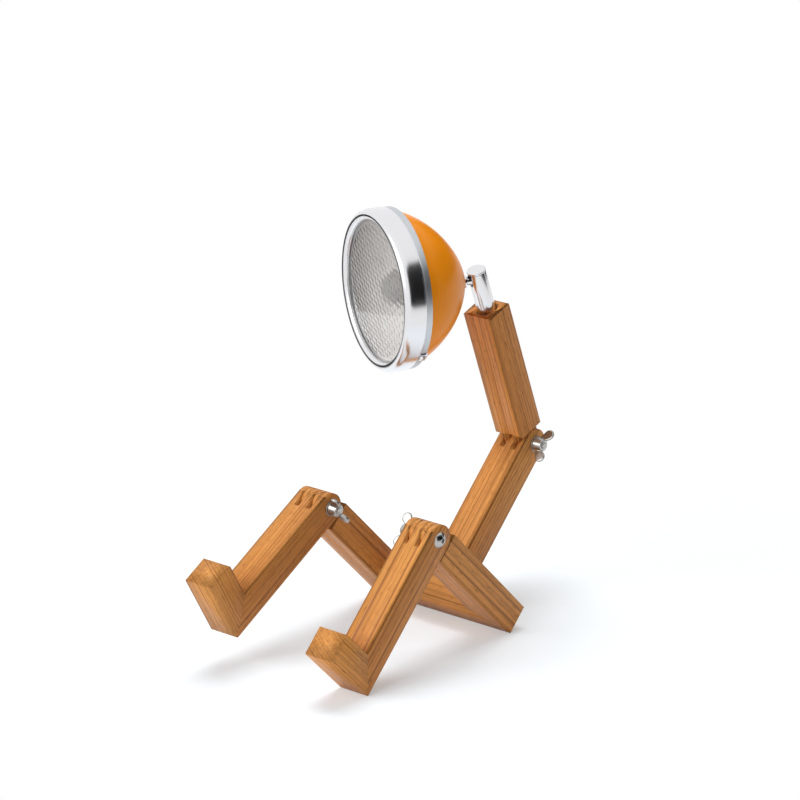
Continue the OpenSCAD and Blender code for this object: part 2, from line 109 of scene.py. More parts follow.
class FIGURE_PG_bars(bpy.types.PropertyGroup):
    """Sizes of the wooden bars, in millimetres"""
    bar_w: size("Bar width", 25, "Width of every bar from side to side")
    bar_h: size("Bar depth", 21.5, "Depth of every bar across the bolts")
    seat_w: size("Seat width", 125, "Width over both thighs")
    thigh_reach: size("Thigh reach", 119.5, "Rear edge of the seat to the knee bolt")
    shin_reach: size("Shin reach", 118, "Knee bolt to the sole")
    foot_l: size("Foot length", 50, "Heel to toe")
    post_reach: size("Post reach", 117.5, "Top of the crossbar to the waist bolt")
    chest_reach: size("Chest reach", 116.5, "Waist bolt to the top of the chest")
    tongue_w: size("Tongue", 4, "Thickness of each tongue")
    mid_finger_w: size("Middle finger", 6, "Width of the middle finger")
    joint_gap: size("Joint gap", 0.15, "Play on each side of a tongue")
    slot_room: size("Slot room", 2.25, "Room past a tongue's round end")
    shoulder_room: size("Shoulder room", 1.25, "Room past a finger's round end")
    edge: size("Edge break", 0.4, "Width of the sanded edges")


class FIGURE_PG_hardware(bpy.types.PropertyGroup):
    """Sizes of the bolts, washers and wing nuts, in millimetres"""
    bolt_d: size("Bolt diameter", 5, "Thread diameter")
    thread_pitch: size("Thread pitch", 0.8, "Distance between two threads")
    head_d: size("Bolt head", 11.4, "Diameter of the domed head")
    head_h: size("Head height", 3, "Height of the domed head")
    key_w: size("Key size", 3, "Hexagon key across its flats")
    key_depth: size("Key depth", 1.8, "Depth of the key's socket")
    washer_d: size("Washer", 11.5, "Outside diameter of the washer")
    washer_t: size("Washer thickness", 1, "Thickness of the washer")
    hub_d: size("Hub base", 11, "Wing nut's hub at its base")
    hub_top_d: size("Hub top", 8.6, "Wing nut's hub at its top")
    hub_h: size("Hub height", 7, "Height of the hub")
    wing_reach: size("Wing reach", 12.6, "Bolt centre to the tip of a wing")
    wing_rise: size("Wing rise", 11.5, "Hub base to the top of a wing")
    wing_r: size("Wing round", 3.9, "Radius of a wing's round end")
    wing_t: size("Wing thickness", 2.2, "Thickness of a wing")
    bolt_end: size("Bolt end", 1.2, "Bolt past the wing nut")
    waist_wing: angle("Waist wings", 52, "Turn of the wings at the waist")
    raised_wing: angle("Raised knee wings", 125, "Turn of the wings at the raised knee")
    planted_wing: angle("Planted knee wings", 56, "Turn of the wings at the planted knee")


class FIGURE_PG_neck(bpy.types.PropertyGroup):
    """Sizes of the neck, in millimetres"""
    neck_d: size("Neck diameter", 13.6, "Diameter of the chromed barrel")
    neck_h: size("Neck height", 33.4, "Top of the chest to the top of the neck")
    ball_rise: size("Ball rise", 25.2, "Top of the chest to the ball's centre")
    ball_d: size("Ball", 10, "Diameter of the ball")
    stud_d: size("Stud", 6, "Diameter of the stud")
    cap_t: size("Cap", 1.5, "Thickness of the cap")
    bush_d: size("Bush", 16, "Diameter of the bush in the chest")


class FIGURE_PG_head(bpy.types.PropertyGroup):
    """Sizes of the headlight, in millimetres"""
    lens_reach: size("Lens reach", 79, "Ball centre to the lens rim")
    head_lift: size("Head lift", 3, "Head's centre line above the stud")
    lens_r: size("Lens radius", 50.3, "Radius of the open lens")
    bezel_r: size("Bezel radius", 57.8, "Largest radius of the bezel")
    bezel_l: size("Bezel length", 17.4, "Bezel behind the lens rim")
    lip_rise: size("Lip rise", 2.4, "Lip before the lens rim")
    band_at: size("Band place", 4, "Lens rim back to the bezel's widest ring")
    flange_l: size("Flange length", 4.4, "Length of the bezel's rear flange")
    flange_depth: size("Flange depth", 0.6, "Step from the band down to the flange")
    bezel_t: size("Bezel metal", 0.9, "Thickness of the bezel's metal")
    shell_l: size("Shell length", 66, "Lens rim to the rear of the shell")
    shell_share: FloatProperty(name="Shell fullness", default=0.665, min=0.5, max=0.8,
                               description="Power of the shell's curve; a half is an ellipse")
    shell_t: size("Shell metal", 1.2, "Thickness of the shell's metal")
    cell_w: size("Cell width", 7.2, "Width of the lens's pressed cells")
    cell_h: size("Cell height", 3.6, "Height of the lens's pressed cells")
    cell_depth: size("Cell depth", 0.16, "Depth of the pressed cells")
    lens_t: size("Lens thickness", 2.6, "Thickness of the lens")
    crown: size("Lens crown", 2.5, "Rise of the lens at its middle")
    bowl_r: size("Reflector base", 16, "Radius of the reflector at its rear")
    bowl_at: size("Reflector depth", 35, "Lens rim back to the reflector's rear")
    reflector_t: size("Reflector metal", 0.75, "Thickness of the reflector's metal")
    bulb_r: size("Bulb radius", 12.5, "Radius of the bulb's glass")
    bulb_at: size("Bulb place", 20, "Lens rim back to the bulb's centre")
    bulb_neck_r: size("Bulb neck", 6.4, "Radius of the glass in the bulb's cap")


class FIGURE_PG_finish(bpy.types.PropertyGroup):
    """Colours of the finishes, as linear values"""
    wood_light: colour("Wood", (0.72, 0.325, 0.086), "Wood between the growth rings")
    wood_dark: colour("Wood rings", (0.25, 0.076, 0.017), "Wood in the growth rings")
    orange: colour("Orange paint", (1.0, 0.31, 0.002), "Gloss paint of the shell")
    steel: colour("Steel", (0.46, 0.455, 0.44), "Nuts and bolts")
    chrome: colour("Chrome", (0.71, 0.73, 0.76), "Bezel and neck")


class FIGURE_PG_studio(bpy.types.PropertyGroup):
    """Camera and light"""
    azimuth: angle("Azimuth", 40.655, "Camera round the figure, from its front")
    elevation: angle("Elevation", 17.94, "Camera above the table")
    camera_at: FloatVectorProperty(name="Camera place", default=(1.6118, -1.9239, 0.9726),
                                   description="Where the camera stands", subtype="XYZ",
                                   unit="LENGTH")
    lens: FloatProperty(name="Focal length", default=168.64, min=1, description="Camera lens",
                        subtype="DISTANCE_CAMERA")


GROUPS = {"pose": FIGURE_PG_pose, "bars": FIGURE_PG_bars, "hardware": FIGURE_PG_hardware,
          "neck": FIGURE_PG_neck, "head": FIGURE_PG_head, "finish": FIGURE_PG_finish,
          "studio": FIGURE_PG_studio}


def sizes(name):
    return getattr(bpy.context.scene, "figure_" + name)


# Places

def joint_at(name):
    return Vector(JOINTS[name]["pos_m"])


def place(origin, x, y, z):
    """A frame from its origin and its three directions."""
    m = Matrix((x, y, z)).transposed().to_4x4()
    m.translation = origin
    return m


def bar_place(at, along):
    """At a bolt's centre, with Z along the bar and X across the figure."""
    x = Vector((1, 0, 0))
    return place(at, x, along.cross(x), along)


def along(turn):
    """Direction in the figure's middle plane, turned up from straight ahead."""
    return Vector((0, -math.cos(turn), math.sin(turn)))


def bolt_place(at, side):
    """At a bolt's centre, with Z towards its nut and X up or down."""
    z = Vector((side, 0, 0))
    x = Vector((0, 0, -side))
    return place(at, x, z.cross(x), z)


def bolted(part):
    """Node, place and the two bodies, for one kind of part at each joint bolt."""
    for node, joint, side, body, nut_body in BOLTED:
        yield node.format(part), bolt_place(joint_at(joint), side), body, nut_body


def neck_place():
    """At the ball's centre, with Z up the neck and -Y the way the head turns."""
    z = Vector(JOINTS["neck_swivel"]["axis"]).normalized()
    x = Vector(JOINTS["head_tilt"]["axis"]).normalized()
    return place(joint_at("head_tilt"), x, z.cross(x), z)


def stud_place():
    """At the ball's centre, with Z forward along the stud and Y up."""
    return neck_place() @ Matrix.Rotation(math.pi / 2 - sizes("pose").head_rise, 4, "X")


def head_place():
    """At the lens rim's centre, with Z forward and Y up."""
    h = sizes("head")
    return stud_place() @ Matrix.Translation((0, h.head_lift * MM, h.lens_reach * MM))


# Meshes; profiles are in millimetres

def mesh_object(name, bm, material=None):
    """A new object in the scene from a bmesh, which it frees."""
    mesh = bpy.data.meshes.new(name)
    bm.to_mesh(mesh)
    bm.free()
    obj = bpy.data.objects.new(name, mesh)
    bpy.context.scene.collection.objects.link(obj)
    if material:
        mesh.materials.append(material)
    return obj


def piece(name, bm, at, body, slot, material, angle_deg=35):
    """Adds a mesh in its place, smooth up to an angle, riding on a body.

    One with a node's name replaces that node; any other name is an extra piece."""
    nodes = (name,) if name in NODES else ()
    bmesh.ops.remove_doubles(bm, verts=bm.verts, dist=1e-4)
    bmesh.ops.recalc_face_normals(bm, faces=bm.faces)
    limit = math.radians(angle_deg)
    for f in bm.faces:
        f.smooth = True
    for e in bm.edges:
        if len(e.link_faces) == 2 and e.calc_face_angle(0) > limit:
            e.smooth = False
    bm.transform(at @ Matrix.Scale(MM, 4))
    obj = mesh_object(name + "_made" if nodes else name, bm, material)
    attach(obj, body)
    if nodes:
        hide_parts(*nodes)
    return obj


def turned(name, rings, at, body, slot, material, angle_deg=35, count=96, closed=True):
    """Adds a piece that is turned from its rings."""
    bm = bmesh.new()
    loft(bm, rings, count, closed)
    return piece(name, bm, at, body, slot, material, angle_deg)


def skin(bm, rows):
    """Quads between rows of as many points, each row closed on itself."""
    for low, high in zip(rows, rows[1:]):
        for i in range(len(low)):
            j = (i + 1) % len(low)
            bm.faces.new((low[i], low[j], high[j], high[i]))


def loft(bm, rings, count=96, closed=True):
    """Rings of equal count round Z, as (height, radius), each a value or a function of the angle.

    A closed loft joins its last ring to its first. An open one gets a face at each end that
    isn't a point."""
    rows = []
    for z, r in rings:
        if not callable(r) and r == 0:
            rows.append([bm.verts.new((0, 0, z))])
            continue
        row = []
        for i in range(count):
            a = FULL_TURN * i / count
            q = r(a) if callable(r) else r
            h = z(a) if callable(z) else z
            row.append(bm.verts.new((q * math.cos(a), q * math.sin(a), h)))
        rows.append(row)
    pairs = list(zip(rows, rows[1:]))
    if closed:
        pairs.append((rows[-1], rows[0]))
    for low, high in pairs:
        if len(low) == 1 and len(high) == 1:
            continue
        for i in range(count):
            j = (i + 1) % count
            quad = [low[i % len(low)], low[j % len(low)], high[j % len(high)], high[i % len(high)]]
            face = []
            for v in quad:
                if v not in face:
                    face.append(v)
            if len(face) > 2:
                bm.faces.new(face)
    if not closed:
        for row in (rows[0], rows[-1]):
            if len(row) > 2:
                bm.faces.new(row)


def hexagon(across):
    """Radius of a hexagon by angle, from its size across the flats."""
    side = FULL_TURN / 6
    return lambda a: across / 2 / math.cos((a + side / 2) % side - side / 2)


def rounded(points, r, steps=4, ends=False):
    """Profile of (height, radius) points with rounded corners; ends keeps its two ends sharp."""
    out = []
    n = len(points)
    almost_straight = math.radians(160)
    most = 0.45  # share of a side that a corner can take
    for i in range(n):
        p = Vector(points[i])
        if ends and i in (0, n - 1):
            out.append(tuple(p))
            continue
        a = Vector(points[i - 1]) - p
        b = Vector(points[(i + 1) % n]) - p
        if a.length == 0 or b.length == 0 or a.angle(b) > almost_straight:
            out.append(tuple(p))
            continue
        cut = min(r, a.length * most, b.length * most)
        s, e = p + a.normalized() * cut, p + b.normalized() * cut
        for k in range(steps + 1):
            t = k / steps
            out.append(tuple((1 - t) ** 2 * s + 2 * t * (1 - t) * p + t * t * e))
    return out


def oval(at_z, at_r, rise, reach, start, end, steps):
    """Part of an oval as (height, radius) points, by angles in degrees from outwards to up."""
    out = []
    for i in range(steps + 1):
        a = math.radians(start + (end - start) * i / steps)
        out.append((at_z + rise * math.sin(a), at_r + reach * math.cos(a)))
    return out


# Finishes

def group(name, inputs, outputs):
    """A new shader group with its sockets, and its input and output nodes."""
    g = bpy.data.node_groups.new(name, "ShaderNodeTree")
    for label, kind, value in inputs:
        s = g.interface.new_socket(label, in_out="INPUT", socket_type="NodeSocket" + kind)
        if value is not None:
            s.default_value = value
    for label, kind in outputs:
        g.interface.new_socket(label, in_out="OUTPUT", socket_type="NodeSocket" + kind)
    return g, g.nodes.new("NodeGroupInput"), g.nodes.new("NodeGroupOutput")


def send(g, outputs, **values):
    """Links values to a group's outputs by name."""
    for label, value in values.items():
        g.links.new(value, outputs.inputs[label])


class Tree:
    """Short ways to add and link nodes in one tree."""

    def __init__(self, tree):
        self.tree = tree

    def add(self, kind, values=(), **settings):
        """A node; values are (socket, value or output socket) pairs."""
        node = self.tree.nodes.new("ShaderNode" + kind)
        for key, value in settings.items():
            setattr(node, key, value)
        for socket, value in values:
            if isinstance(value, bpy.types.NodeSocket):
                self.tree.links.new(value, node.inputs[socket])
            else:
                node.inputs[socket].default_value = value
        return node

    def link(self, value, socket):
        self.tree.links.new(value, socket)

    def here(self):
        """Object coordinates, which are in metres in the shared frame."""
        return self.add("TexCoord").outputs["Object"]

    def marks(self):
        """Outputs of the shared marks at the object's coordinates."""
        node = self.add("Group", node_tree=shared("Fine Marks", fine_marks))
        self.link(self.here(), node.inputs["Vector"])
        return node.outputs

    def math(self, operation, a, b=0.0, c=0.0, clamp=False):
        return self.add("Math", ((0, a), (1, b), (2, c)), operation=operation,
                        use_clamp=clamp).outputs[0]

    def ramp(self, value, low, high, to_low=0.0, to_high=1.0):
        """A value carried from one range to another, smooth at both ends."""
        return self.add("MapRange", (("Value", value), ("From Min", low), ("From Max", high),
                                     ("To Min", to_low), ("To Max", to_high)),
                        interpolation_type="SMOOTHSTEP").outputs["Result"]

    def noise(self, vector, scale, detail=2.0, rough=0.5):
        return self.add("TexNoise", (("Vector", vector), ("Scale", scale), ("Detail", detail),
                                     ("Roughness", rough))).outputs["Fac"]

    def stretch(self, vector, scale):
        return self.add("VectorMath", ((0, vector), (1, scale)),
                        operation="MULTIPLY").outputs[0]

    def mix(self, factor, a, b):
        return self.add("Mix", ((0, factor), (6, a), (7, b)), data_type="RGBA").outputs[2]


def straight_grain():
    """Growth rings, fibres and pores of straight wood; Z runs along the grain, in metres."""
    g, inputs, outputs = group(
        "Straight Grain",
        (("Vector", "Vector", None), ("Ring Width", "Float", 0.0026),
         ("Ring Centre", "Vector", None), ("Wave", "Float", 0.35)),
        (("Rings", "Float"), ("Fibres", "Float"), ("Pores", "Float"), ("Tone", "Float"),
         ("Height", "Float")))
    t = Tree(g)
    v = inputs.outputs["Vector"]
    off = t.add("VectorMath", ((0, v), (1, inputs.outputs["Ring Centre"])),
                operation="SUBTRACT").outputs[0]
    flat = t.stretch(off, (1.0, 1.0, 0.0))
    reach = t.add("VectorMath", ((0, flat),), operation="LENGTH").outputs["Value"]

    def grain(across, lengthwise, detail, rough=0.5):
        """Noise with a scale across the grain and one along it."""
        return t.noise(t.stretch(v, (across, across, lengthwise)), 1.0, detail, rough)

    def uneven(scale, detail):
        """Noise that changes from ring to ring."""
        return t.add("TexNoise", (("W", turns), ("Scale", scale), ("Detail", detail)),
                     noise_dimensions="1D").outputs["Fac"]

    wave = grain(60.0, 9.0, 2.0)
    drift = grain(14.0, 3.0, 1.0)
    turns = t.math("DIVIDE", reach, inputs.outputs["Ring Width"])
    turns = t.math("MULTIPLY_ADD", wave, inputs.outputs["Wave"], turns)
    turns = t.math("MULTIPLY_ADD", drift, 2.2, turns)
    turns = t.math("MULTIPLY_ADD", uneven(0.45, 1.0), 1.3, turns)
    part = t.math("FRACT", turns)
    late = t.math("MULTIPLY", t.ramp(part, 0.62, 0.93), t.ramp(part, 1.0, 0.94))
    rings = t.math("MULTIPLY", late, t.ramp(uneven(0.8, 0.0), 0.35, 0.65, 0.35, 1.0))
    fibres = grain(1500.0, 28.0, 3.0, 0.6)
    streaks = grain(420.0, 7.0, 2.0)
    spots = grain(2600.0, 150.0, 1.0, 0.4)
    early = t.ramp(part, 0.55, 0.15, 0.25, 1.0)
    pores = t.math("MULTIPLY", t.ramp(spots, 0.58, 0.70), early)
    tone = grain(14.0, 2.5, 2.0)
    both = t.math("MULTIPLY_ADD", streaks, 0.6, t.math("MULTIPLY", fibres, 0.4))
    height = t.math("MULTIPLY_ADD", rings, 0.08, t.math("MULTIPLY", fibres, 0.4))
    height = t.math("MULTIPLY_ADD", pores, -0.8, height)
    send(g, outputs, Rings=rings, Fibres=both, Pores=pores, Tone=tone, Height=height)
    return g


def fine_marks():
    """Faint scuffs, polish swirls and dust for hard surfaces, in metres."""
    g, inputs, outputs = group(
        "Fine Marks", (("Vector", "Vector", None), ("Scale", "Float", 1.0)),
        (("Cloud", "Float"), ("Scuffs", "Float"), ("Specks", "Float")))
    t = Tree(g)
    v = t.add("VectorMath", ((0, inputs.outputs["Vector"]), (3, inputs.outputs["Scale"])),
              operation="SCALE").outputs[0]
    cloud = t.noise(v, 70.0, 3.0)
    warp = t.add("VectorMath", ((0, v), (1, t.stretch(v, (0.0, 0.0, 9.0)))),
                 operation="ADD").outputs[0]
    scuffs = t.ramp(t.noise(warp, 900.0, 2.0), 0.66, 0.74)
    specks = t.ramp(t.noise(v, 2400.0, 1.0), 0.74, 0.80)
    send(g, outputs, Cloud=cloud, Scuffs=scuffs, Specks=specks)
    return g


def shared(name, make):
    """The node group of a name, made on its first use."""
    return bpy.data.node_groups.get(name) or make()


def material(name, colour, metallic=0.0, roughness=0.5, **more):
    """A material, its Principled shader with these values, and a Tree to add nodes to it."""
    m = bpy.data.materials.new(name)
    m.use_nodes = True
    m.diffuse_color = (*colour, 1)
    shader = m.node_tree.nodes["Principled BSDF"]
    shader.inputs["Base Color"].default_value = (*colour, 1)
    for key, value in dict(more, metallic=metallic, roughness=roughness).items():
        label = key.replace("_", " ").title().replace("Ior", "IOR")
        shader.inputs[label].default_value = value
    return m, shader, Tree(m.node_tree)


def bump(t, shader, height, strength, distance):
    node = t.add("Bump", (("Height", height), ("Strength", strength), ("Distance", distance)))
    t.link(node.outputs["Normal"], shader.inputs["Normal"])


def wood(name, at, seed, centre, ring_w=0.0026, tone=1.0):
    """Oiled hardwood for one bar: at is the bar's place, with Z along its grain."""
    f = sizes("finish")
    m, shader, t = material(name, tuple(f.wood_light), specular_ior_level=0.22)
    back = at.inverted()
    where = t.add("Mapping", (("Vector", t.here()), ("Rotation", back.to_euler()),
                              ("Location", back.translation + Vector(seed)))).outputs[0]
    grain = t.add("Group", node_tree=shared("Straight Grain", straight_grain))
    t.link(where, grain.inputs["Vector"])
    grain.inputs["Ring Width"].default_value = ring_w
    grain.inputs["Ring Centre"].default_value = Vector(centre) + Vector(seed)
    out = grain.outputs
    light = Vector(f.wood_light) * tone
    dark = Vector(f.wood_dark) * tone
    red = Vector((light.x * 0.94, light.y * 0.84, light.z * 0.76))
    base = t.mix(t.ramp(out["Tone"], 0.3, 0.7), (*light, 1), (*red, 1))
    base = t.mix(t.math("MULTIPLY", out["Rings"], 0.8), base, (*dark, 1))
    base = t.mix(t.ramp(out["Fibres"], 0.42, 0.64, 0.0, 0.42), base, (*dark, 1))
    base = t.mix(t.math("MULTIPLY", out["Pores"], 0.7), base,
                 (dark.x * 0.5, dark.y * 0.45, dark.z * 0.4, 1))
    t.link(base, shader.inputs["Base Color"])
    rough = t.math("MULTIPLY_ADD", out["Rings"], -0.08,
                   t.math("MULTIPLY_ADD", out["Pores"], 0.25, 0.44))
    t.link(rough, shader.inputs["Roughness"])
    bump(t, shader, out["Height"], 0.35, 0.00012)
    return m


def marked(shader, t, rough, more, dust):
    """Varies the roughness with fine marks and greys the colour with dust; gives the marks."""
    marks = t.marks()
    value = t.math("MULTIPLY_ADD", marks["Cloud"], more, rough - more / 2)
    value = t.math("MULTIPLY_ADD", marks["Scuffs"], more, value, clamp=True)
    t.link(value, shader.inputs["Roughness"])
    c = tuple(shader.inputs["Base Color"].default_value)
    grey = tuple(q * (1 - dust) + 0.5 * dust for q in c[:3]) + (1,)
    base = t.mix(marks["Specks"], c, grey)
    base = t.mix(t.ramp(marks["Cloud"], 0.35, 0.75, 0.0, 0.35), base,
                 tuple(q * 0.86 for q in c[:3]) + (1,))
    t.link(base, shader.inputs["Base Color"])
    return marks


def metal(name, colour, rough, more=0.06, dust=0.15, metallic=1.0):
    """A metal, made on its first use; more is how much its roughness varies."""
    found = bpy.data.materials.get(name)
    if found:
        return found
    m, shader, t = material(name, tuple(colour), metallic, rough)
    marks = marked(shader, t, rough, more, dust)
    bump(t, shader, marks["Scuffs"], min(0.08, rough), 0.00005)
    return m


def plain(name, colour, rough, **more):
    """A plastic, rubber, cloth or frosted glass, made on its first use."""
    found = bpy.data.materials.get(name)
    if found:
        return found
    m, shader, t = material(name, colour, 0.0, rough, **more)
    marks = marked(shader, t, rough, 0.1, 0.2)
    bump(t, shader, marks["Cloud"], 0.1, 0.0001)
    return m


def chrome():
    return metal("chrome", sizes("finish").chrome, 0.006, 0.008)


def bright_steel():
    return metal("bright steel", sizes("finish").steel, 0.22)


def plain_steel():
    return metal("plain steel", (0.33, 0.32, 0.31), 0.35)


def black_plastic():
    return plain("black plastic", (0.02, 0.02, 0.02), 0.45)


def gloss_paint():
    m, shader, t = material("orange gloss paint", tuple(sizes("finish").orange), 0.0, 0.3,
                            specular_ior_level=0.14, coat_weight=0.06, coat_roughness=0.05)
    marks = marked(shader, t, 0.32, 0.05, 0.06)
    peel = t.noise(t.here(), 700.0, 1.0)
    bump(t, shader, t.math("MULTIPLY_ADD", marks["Scuffs"], 0.2, peel), 0.06, 0.00006)
    return m


def pressed_glass():
    rough = 0.02
    m, shader, t = material("pressed glass", (0.97, 0.98, 0.98), 0.0, rough, ior=1.5,
                            transmission_weight=1.0)
    marks = t.marks()
    t.link(t.math("MULTIPLY_ADD", marks["Cloud"], 0.05, rough), shader.inputs["Roughness"])
    bump(t, shader, marks["Cloud"], 0.05, 0.0001)
    return m


def dress(finish, *nodes):
    """Gives carried CAD nodes a finish."""
    for node in nodes:
        slots = NODES[node].data.materials
        slots.clear()
        slots.append(finish)


def modify(obj, kind, name, **settings):
    """Adds a modifier to an object."""
    modifier = obj.modifiers.new(name, kind)
    for key, value in settings.items():
        setattr(modifier, key, value)


def break_edges(node, width, limit):
    """Softens the edges of a carried CAD node that are sharper than a limit in degrees."""
    modify(NODES[node], "WELD", "Joined corners", merge_threshold=1e-6)
    modify(NODES[node], "BEVEL", "Broken edges", width=width * MM, segments=2,
           limit_method="ANGLE", angle_limit=math.radians(limit), harden_normals=False,
           miter_outer="MITER_ARC")


def flatten(obj):
    """Applies an object's modifiers to its mesh."""
    context = bpy.context
    context.view_layer.update()
    made = bpy.data.meshes.new_from_object(obj.evaluated_get(context.evaluated_depsgraph_get()))
    obj.modifiers.clear()
    obj.data = made


def drill(obj, tool, at):
    """Cuts a tool's shape out of an object, after its other modifiers."""
    bmesh.ops.recalc_face_normals(tool, faces=tool.faces)
    tool.transform(at @ Matrix.Scale(MM, 4))
    cutter = mesh_object("drill", tool)
    modify(obj, "BOOLEAN", "Hole", operation="DIFFERENCE", solver="FAST", object=cutter)
    flatten(obj)
    bpy.data.objects.remove(cutter)


# Pieces

def bar_mesh(b, start, slots, tail, hole_r):
    """A bar from its bolt along Z, made of slices across X.

    start gives where each slice begins, or None for one that is round about the bolt; tail gives
    where its far end is."""
    half_w, half_h = b.bar_w / 2, b.bar_h / 2 - HAIR
    bm = bmesh.new()
    steps = 28  # flats of a round end
    xs = [-half_w] + slots + [half_w]
    levels = sorted({z for z in start if z is not None})
    made = {}

    def vert(x, y, z):
        key = (round(x, 3), round(y, 3), round(z, 3))
        if key not in made:
            made[key] = bm.verts.new((x, y, z))
        return made[key]

    def arc(x, r, m):
        a = math.pi * m / steps
        return vert(x, r * math.cos(a), -r * math.sin(a))

    def rail(x, y, low, top=math.inf):
        """Corners of one long edge, from the slice's start to its far end or to a lower top."""
        at = [0.0] + levels if low is None else [z for z in levels if z >= low]
        return [vert(x, y, z) for z in at + [tail(x, y)] if z <= top]

    def wall(x, low, top=math.inf):
        """The face across the bar at x, with the bolt's hole if the slice is round."""
        rails = rail(x, half_h, low, top) + rail(x, -half_h, low, top)[::-1]
        if low is None:
            for m in range(steps):
                bm.faces.new((arc(x, hole_r, m), arc(x, hole_r, m + 1),
                              arc(x, half_h, m + 1), arc(x, half_h, m)))
            rails = [arc(x, hole_r, m) for m in range(steps, 2 * steps + 1)] + rails
        bm.faces.new(rails)

    for k, low in enumerate(start):
        a, c = xs[k], xs[k + 1]
        for y in (half_h, -half_h):
            left, right = rail(a, y, low), rail(c, y, low)
            for m in range(len(left) - 1):
                bm.faces.new((left[m], left[m + 1], right[m + 1], right[m]))
        bm.faces.new([vert(x, y, tail(x, y)) for x, y in (
            (a, half_h), (c, half_h), (c, -half_h), (a, -half_h))])
        if low is None:
            for r, count in ((half_h, steps), (hole_r, 2 * steps)):
                for m in range(count):
                    bm.faces.new((arc(a, r, m), arc(a, r, m + 1), arc(c, r, m + 1), arc(c, r, m)))
        else:
            bm.faces.new([vert(x, y, low) for x, y in (
                (a, half_h), (c, half_h), (c, -half_h), (a, -half_h))])
        if k and (low is None) != (start[k - 1] is None):
            wall(a, None, start[k - 1] if low is None else low)
    wall(xs[0], start[0])
    wall(xs[-1], start[-1])
    return bm


